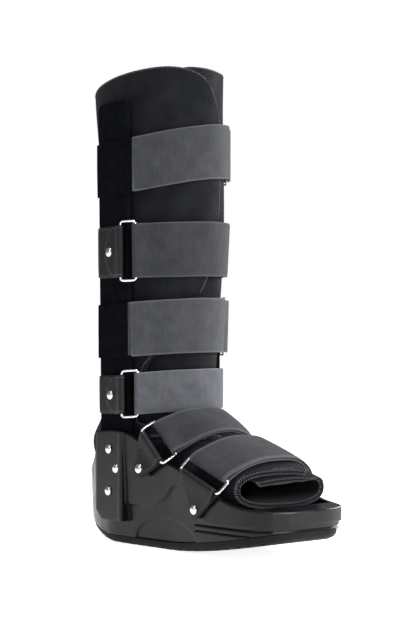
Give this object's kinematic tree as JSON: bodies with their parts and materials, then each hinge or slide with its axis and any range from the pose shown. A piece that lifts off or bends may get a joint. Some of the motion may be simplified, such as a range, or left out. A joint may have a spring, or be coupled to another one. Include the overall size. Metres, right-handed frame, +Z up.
{
  "type": "ankle immobilizer boot",
  "caption": "Tall rigid walker boot: rocker shell with two uprights, padded wrap liner with an open toe, and hook-and-loop straps folded back through wire rings.",
  "frame": {"origin": "On the floor, on the flat middle of the tread, in the middle plane under the ankle.", "axes": "+Z up along the leg, -Y towards the toes, +X towards the wearer's left."},
  "size_m": [0.1312, 0.2923, 0.44],
  "materials": {
    "shell": "satin black moulded plastic",
    "tread": "matte black moulded rubber",
    "upright": "black loop fabric over a stiff bar",
    "liner": "black knit over foam, bound and stitched edges",
    "strap": "dark grey webbing, black loop on the other side",
    "tab": "black coated webbing",
    "steel": "bright"
  },
  "bodies": {
    "root": {"shell": "shell", "tread": "tread", "upright_right": "upright", "upright_left": "upright", "liner_shaft": "liner", "liner_foot": "liner", "strap_1": "strap", "strap_2": "strap", "strap_3": "strap", "strap_4": "strap", "strap_5": "strap", "strap_6": "strap", "tab_1": "tab", "tab_2": "tab", "tab_3": "tab", "tab_4": "tab", "tab_5": "tab", "tab_6": "tab", "ring_1": "steel", "ring_2": "steel", "ring_3": "steel", "ring_4": "steel", "ring_5": "steel", "ring_6": "steel", "rivet_tab_1": "steel", "rivet_tab_2": "steel", "rivet_tab_3": "steel", "rivet_tab_4": "steel", "rivet_tab_5": "steel", "rivet_tab_6": "steel", "rivet_strap_5": "steel", "rivet_strap_6": "steel", "rivet_socket_right_1": "steel", "rivet_socket_right_2": "steel", "rivet_socket_right_3": "steel", "rivet_socket_left_1": "steel", "rivet_socket_left_2": "steel", "rivet_socket_left_3": "steel"}
  },
  "joints": []
}
